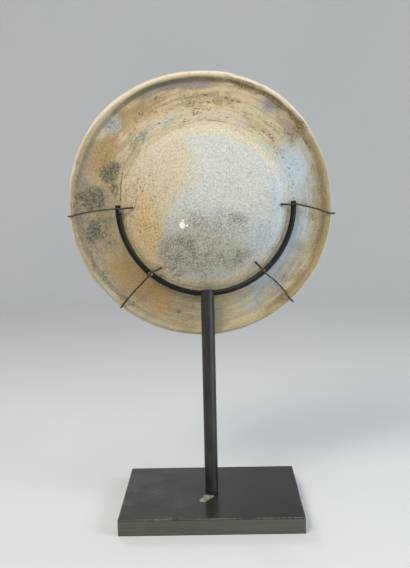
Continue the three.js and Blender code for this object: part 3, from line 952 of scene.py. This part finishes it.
class Finish:
    """A material with one Principled shader, and ways to fill it."""

    def __init__(self, name, **constants):
        self.material = bpy.data.materials.new(name)
        self.material.use_nodes = True
        self.tree = self.material.node_tree
        self.shader = self.tree.nodes["Principled BSDF"]
        for socket, value in constants.items():
            self.shader.inputs[socket.replace("_", " ")].default_value = value
        self.place = self.node("ShaderNodeTexCoord", output="Object")

    def node(self, kind, settings=None, sockets=None, output=0):
        """Adds a node: its settings first, then the value or link of each socket."""
        made = self.tree.nodes.new(kind)
        for setting, value in (settings or {}).items():
            setattr(made, setting, value)
        for socket, value in (sockets or {}).items():
            if isinstance(value, Reading):
                self.tree.links.new(value.socket, made.inputs[socket])
            else:
                made.inputs[socket].default_value = value
        if output is None:
            return [Reading(self, socket) for socket in made.outputs]
        return Reading(self, made.outputs[output])

    def vector(self, operation, *values, output=0, **sockets):
        """A Vector Math node on one or two vectors."""
        values = {**dict(enumerate(values)), **sockets}
        return self.node("ShaderNodeVectorMath", {"operation": operation}, values, output)

    def parts(self):
        """The three numbers of a place: across, from front to back, and up."""
        return self.node("ShaderNodeSeparateXYZ", sockets={0: self.place}, output=None)

    def noise(self, size, detail=2.0, roughness=0.5, stretch=(1, 1, 1)):
        """A soft random field around 0.5. size is the width of its blotches in millimetres."""
        place = self.place
        if stretch != (1, 1, 1):
            place = self.node("ShaderNodeMapping", sockets={"Vector": place, "Scale": stretch})
        sockets = {"Vector": place, "Scale": 1 / (size * MM), "Detail": detail, "Roughness": roughness}
        return self.node("ShaderNodeTexNoise", sockets=sockets)

    def wheel_noise(self, along, across, detail=2.0):
        """Noise drawn out round the wheel: streaks across mm wide, and along mm long in the
        middle of the flange. The direction from the dome's middle gives the way round, and
        the distance the way out."""
        from_middle = self.vector("SUBTRACT", self.place, (0, 0, BOWL_MIDDLE_Z * MM))
        flat_place = self.vector("MULTIPLY", from_middle, (1, 0, 1))
        distance = self.vector("LENGTH", flat_place, output="Value")
        round_it = self.vector("SCALE", self.vector("NORMALIZE", flat_place), Scale=FLANGE_MIDDLE / along)
        outwards = self.node("ShaderNodeCombineXYZ", sockets={"Y": distance * (1 / (across * MM))})
        place = self.vector("ADD", round_it, outwards)
        return self.node("ShaderNodeTexNoise", sockets={"Vector": place, "Scale": 1.0, "Detail": detail})

    def painted(self, reading):
        """The number that the mesh carries under this name."""
        return self.node("ShaderNodeAttribute", {"attribute_name": reading}, output="Fac")

    def step(self, value, low, high):
        """0 below low, 1 above high, smooth between."""
        sockets = {"Value": value, "From Min": low, "From Max": high}
        return self.node("ShaderNodeMapRange", {"interpolation_type": "SMOOTHSTEP"}, sockets)

    def mix(self, share, first, second):
        """From the first colour to the second by share."""
        return self.node("ShaderNodeMix", {"data_type": "RGBA"}, {0: share, 6: first, 7: second}, output=2)

    def bump(self, height, depth):
        """Bends the light as if the surface rose by depth millimetres where height is 1."""
        sockets = {"Height": height, "Distance": depth * MM, "Strength": 1.0}
        return self.node("ShaderNodeBump", sockets=sockets)

    def fill(self, **sockets):
        """Links readings to the shader's sockets of these names."""
        for socket, value in sockets.items():
            self.tree.links.new(value.socket, self.shader.inputs[socket.replace("_", " ")])

    def cover(self, *pieces):
        """Gives the pieces this finish and no other."""
        for piece in pieces:
            piece.data.materials.clear()
            piece.data.materials.append(self.material)
        print(f"{self.material.name}: {len(self.tree.nodes)} nodes on {len(pieces)} pieces")


# %% [markdown]
# The clay's finish
#
# The colour starts as cream clay on the dome and buff clay with turning streaks on the
# flange. Each stain then goes over it. A painted dab is soft, so a blotchy field and a
# fine one are added to it, and the sum is cut by a steep curve. That breaks its edge into
# specks, as real stains are. Grit, pits and cracks come last. A pit is where a fine field
# passes a threshold, which is lower in the painted rows of pits. The same fields lift the
# surface a little.

# %% Clay
clay = Finish("fired_clay", Roughness=0.9, IOR=1.45)
patches = clay.noise(22, detail=3)
blotch = clay.noise(12, detail=4, roughness=0.6)
speck = clay.noise(2.5, detail=3, roughness=0.65)
grain = clay.noise(1.6, detail=2, roughness=0.6)
dots = clay.noise(3, detail=2, roughness=0.7)
scratches = clay.noise(1.3, detail=2, stretch=(0.07, 1, 1)) + clay.noise(1.3, detail=2, stretch=(1, 1, 0.07))
streak = clay.wheel_noise(34, 3.2, detail=3)
fine_streak = clay.wheel_noise(16, 1.5)
flecks = clay.wheel_noise(3.4, 1.4, detail=3)
on_flange = clay.painted("flange")

CREAM, DULL_SHADED_BUFF = tone(197, 186, 160), tone(161, 148, 120)
PEACH_BUFF, OLIVE_BUFF = tone(205, 184, 147), tone(194, 180, 144)
STREAK = tone(152, 134, 98)
VEIL, LOW_VEIL, PALE = tone(193, 195, 190), tone(168, 165, 151), tone(180, 194, 203)
TAN, OCHRE = tone(198, 173, 123), tone(157, 132, 85)
SMOKE, SOOT, DUSK_STAIN_AND_SHADE = tone(112, 106, 92), tone(66, 62, 54), tone(138, 130, 122)
SOIL, DARK_SOIL, GROOVE = tone(142, 122, 90), tone(98, 84, 64), tone(94, 78, 56)
CROOK_GRIME_SHADE, WHITE = tone(104, 92, 76), tone(246, 245, 240)
WORN_LIT, LIGHT_GRIT, DARK_GRIT = tone(220, 203, 182), tone(236, 232, 220), tone(88, 80, 68)


def stained(painted, strength, coarse=0.9, fine=0.5, streaks=0.0, low=0.05, high=0.95):
    """How far a stain covers: strength where the painted reading and three noises add up."""
    noises = coarse * (blotch - 0.5) + fine * (speck - 0.5) + streaks * on_flange * (streak - 0.5)
    return strength * clay.step(clay.painted(painted) + noises, low, high)


# Each layer is how far it covers, and its colour. The first lies lowest
# Darker clay, and painted shade on the flange away from its top
darkened = clay.painted("dulled_and_shaded")
grimy = clay.step(speck, 0.45, 0.6)
grit = 0.32 - 0.2 * on_flange
holes = clay.step(flecks + 0.16 * clay.painted("pitted"), 0.67, 0.74)
buff = clay.mix(clay.step(patches, 0.38, 0.62), OLIVE_BUFF, PEACH_BUFF)
buff = clay.mix(darkened, buff, DULL_SHADED_BUFF)
LAYERS = [
    (on_flange, buff),
    (0.6 * on_flange * clay.step(streak + 0.5 * (blotch - 0.5), 0.44, 0.66), STREAK),
    (0.3 * on_flange * clay.step(fine_streak, 0.5, 0.7), STREAK),
    (0.5 * on_flange * clay.step(1 - fine_streak, 0.53, 0.68), CREAM),
    (stained("ochre", 0.95, streaks=0.8), clay.mix(on_flange, TAN, OCHRE)),
    (stained("veil", 0.92), clay.mix(darkened, VEIL, LOW_VEIL)),
    (stained("pale", 0.9, streaks=1.2), PALE),
    # Purple-grey stain, and painted shade under the lip and on the lower right flange
    (stained("dusk_and_shade", 0.9, streaks=0.8), DUSK_STAIN_AND_SHADE),
    (stained("soil", 0.92), clay.mix(grimy, SOIL, DARK_SOIL)),
    (stained("smoke", 0.92, coarse=0.8, fine=1.2, low=0.0, high=1.0), clay.mix(grimy, SMOKE, SOOT)),
    # The pale lip: worn clay and a painted highlight
    (clay.painted("worn_and_lit") * clay.step(blotch + 0.3 * (speck - 0.5), 0.24, 0.4), WORN_LIT),
    (grit * clay.step(grain, 0.5, 0.68), DARK_GRIT),
    (grit * clay.step(1 - grain, 0.5, 0.66), LIGHT_GRIT),
    (0.85 * clay.painted("peppered") * clay.step(dots, 0.58, 0.66), DARK_SOIL),
    (0.22 * (1 - on_flange) * clay.step(0.5 * scratches, 0.6, 0.68), SMOKE),
    (0.65 * holes * on_flange, GROOVE),
    (0.8 * clay.step(clay.painted("cracked") + speck - 0.5, 0.15, 0.85), GROOVE),
    # The crook's dark line: grime and painted shade under the lip
    (0.8 * clay.painted("crook_grime_and_shade"), CROOK_GRIME_SHADE),
    (clay.step(clay.painted("spot"), 0.4, 0.6), WHITE),
]
ground = CREAM
for share, colour in LAYERS:
    ground = clay.mix(share, ground, colour)
rise = 0.5 * grain + 0.7 * speck + (0.8 * streak + 0.5 * fine_streak - 1.2 * holes) * on_flange
clay.fill(Base_Color=ground, Normal=clay.bump(rise, 0.5))
clay.cover(bowl)

# %% [markdown]
# Painted steel
#
# The rod, the wires and the post are black. The plate is a dark olive grey with pale
# lines where its front edge is rubbed, and the right side of its top is darkened in the
# colour, a painted reflection that stands for a dimmer one there. Paint and old lacquer
# are dielectrics, so these finishes are not metallic: a dark colour under a satin gloss,
# with smears that change the gloss more than the colour.

# %% Finish of the plate
TOP_FROM, TOP_FULL = 0.9 * PLATE_TOP * MM, 0.97 * PLATE_TOP * MM
plate_steel = Finish("plate_finish", IOR=1.38)
mottle = plate_steel.noise(24, detail=5, roughness=0.65)
fine = plate_steel.noise(2.2, detail=3)
lines = plate_steel.noise(1.0, detail=1, stretch=(0.008, 1, 1.1))
across, _, upwards = plate_steel.parts()
flat_top = plate_steel.step(upwards, TOP_FROM, TOP_FULL)
# Painted reflection: the right side of the top is darker, standing for a dimmer reflection there
dim_reflection_right = plate_steel.step(across + 0.08 * (mottle - 0.5), -0.05, 0.07)
top_tint = plate_steel.mix(plate_steel.step(mottle, 0.25, 0.8), tone(34, 34, 31), tone(66, 65, 59))
top_tint = plate_steel.mix(0.9 * dim_reflection_right, top_tint, tone(16, 16, 15))
side_tint = plate_steel.mix(0.45 * plate_steel.step(lines, 0.4, 0.7), tone(80, 80, 75), tone(110, 108, 101))
plate_tint = plate_steel.mix(flat_top, side_tint, top_tint)
bare = plate_steel.painted("rubbed") * plate_steel.step(fine + 0.6 * (mottle - 0.5), 0.42, 0.6)
plate_tint = plate_steel.mix(bare, plate_tint, tone(122, 120, 110))
gloss = 0.05 + 0.26 * mottle + 0.04 * fine + 0.3 * (1 - flat_top)
lifted = plate_steel.bump(0.6 * lines + 0.4 * fine, 0.012)
plate_steel.fill(Base_Color=plate_tint, Roughness=gloss, Normal=lifted)
plate_steel.cover(plate)

# %% Finish of the post
post_steel = Finish("post_finish", IOR=1.48)
drawn_lines = post_steel.noise(1.2, detail=3, stretch=(1, 1, 0.02))
mottle = post_steel.noise(9, detail=4, stretch=(1, 1, 0.3))
post_tint = post_steel.mix(post_steel.step(mottle, 0.4, 0.7), tone(26, 27, 28), tone(48, 45, 40))
gloss = 0.24 + 0.2 * mottle + 0.1 * drawn_lines
post_steel.fill(Base_Color=post_tint, Roughness=gloss, Normal=post_steel.bump(drawn_lines, 0.01))
post_steel.cover(post)

# %% Blotched finishes of the small pieces


def blotched(name, pieces, size, cut, first, second, depth, gloss=None, grain=None, detail=4, **constants):
    """Blotches, size mm wide, turn from the first colour into the second. gloss is the
    least roughness and what the blotches add. They also lift the skin by depth mm, unless
    a grain of its own size does."""
    finish = Finish(name, **constants)
    mottle = finish.noise(size, detail=detail)
    lift = finish.noise(grain) if grain else mottle
    finish.fill(Base_Color=finish.mix(finish.step(mottle, *cut), first, second))
    finish.fill(Normal=finish.bump(lift, depth))
    if gloss:
        finish.fill(Roughness=gloss[0] + gloss[1] * mottle)
    finish.cover(*pieces)


blotched("rod_finish", [cradle], 4, (0.45, 0.7), tone(6, 6, 6), tone(22, 20, 17), 0.03,
         gloss=(0.26, 0.25), grain=0.9, IOR=1.36)
blotched("wire_finish", wires.values(), 2.2, (0.4, 0.7), tone(26, 23, 20), tone(58, 50, 42), 0.02,
         gloss=(0.25, 0.25), grain=0.7, IOR=1.5)
blotched("braze", beads, 0.9, (0.4, 0.65), tone(132, 130, 120), tone(64, 60, 54), 0.12,
         gloss=(0.4, 0.3), detail=3, Metallic=0.4)
blotched("old_adhesive", [residue], 2.4, (0.35, 0.65), tone(143, 139, 121), tone(92, 88, 76), 0.4,
         Roughness=0.8)

# %% [markdown]
# The studio
#
# A pale sweep carries the object: a round floor that curves up into a wall all round,
# so every view has the same plain ground. The key is a warm, soft lamp at the upper left
# front, helped by one above and a cool one on the right. A weak lamp lights the back, and
# one the wall. The strip only shows as the pale line in the gloss of the post.

# %% Sweep and lights
FLAT_REACH, WALL_REACH, WALL_TOP = 1500.0, 2500.0, 3200.0


def sweep_grid(columns=96):
    """A profile turned about the upright axis: flat floor, quarter circle, straight wall."""
    bend = WALL_REACH - FLAT_REACH
    turn = np.linspace(0, math.pi / 2, 24)
    reach = np.concatenate([[0, 300, 900], FLAT_REACH + bend * np.sin(turn), [WALL_REACH]])
    rise = np.concatenate([[0, 0, 0], bend * (1 - np.cos(turn)), [WALL_TOP]])
    around = np.linspace(0, 2 * math.pi, columns, endpoint=False)
    ground = polar(reach[:, None], around)
    return np.concatenate([ground, np.broadcast_to(rise[:, None, None], (*ground.shape[:2], 1))], axis=-1)


sweep_points = sweep_grid()
rows, columns = sweep_points.shape[:2]
row_starts = np.arange(rows - 1)[:, None] * columns
first, second = row_starts + np.arange(columns), row_starts + np.roll(np.arange(columns), -1)
sweep_faces = np.stack([first, second, second + columns, first + columns], axis=-1).reshape(-1, 4)
sweep = mesh_piece("sweep", sweep_points.reshape(-1, 3), sweep_faces.tolist())
paper = Finish("sweep_paper", Roughness=0.85, Specular_IOR_Level=0)
clouds = paper.step(paper.noise(900, detail=1), 0.3, 0.7)
paper.fill(Base_Color=paper.mix(clouds, tone(207, 209, 211), tone(212, 213, 213)))
paper.cover(sweep)


def soft_light(name, place, aim, size, watts, colour):
    """A square lamp at place that faces aim, both in millimetres."""
    lamp = bpy.data.lights.new(name, "AREA")
    lamp.size, lamp.energy, lamp.color = size * MM, watts, colour
    light = bpy.data.objects.new(name, lamp)
    light.location = Vector(place) * MM
    light.rotation_euler = (Vector(aim) - Vector(place)).to_track_quat("-Z", "Y").to_euler()
    light.visible_camera = False
    bpy.context.scene.collection.objects.link(light)
    return light


soft_light("key", (-800, -1200, 1700), (0, 0, 300), 700, 24, (1.0, 0.92, 0.8))
soft_light("top", (100, -500, 2300), (0, 0, 200), 1000, 12, (1.0, 0.98, 0.96))
soft_light("right", (1400, -700, 900), (0, 0, 300), 600, 13, (0.72, 0.87, 1.0))
back = soft_light("back", (-900, 1700, 1300), (0, 0, 300), 600, 1.1, (1.0, 0.97, 0.93))
back.data.spread = math.radians(50)
soft_light("wall", (300, 900, 2600), (300, 2500, 300), 1200, 9, (0.92, 0.96, 1.0))
strip = soft_light("strip", (240, -150, 170), (0, -4, 170), 130, 0.35, (0.75, 0.88, 1.0))
strip.data.shape, strip.data.size_y = "RECTANGLE", 0.34
strip.visible_diffuse = False
world = bpy.data.worlds.new("room")
world.use_nodes = True
room_light = world.node_tree.nodes["Background"].inputs
room_light["Color"].default_value = (0.95, 0.97, 1.0, 1)
room_light["Strength"].default_value = 0.24
bpy.context.scene.world = world
bpy.context.scene.view_settings.view_transform = "Standard"
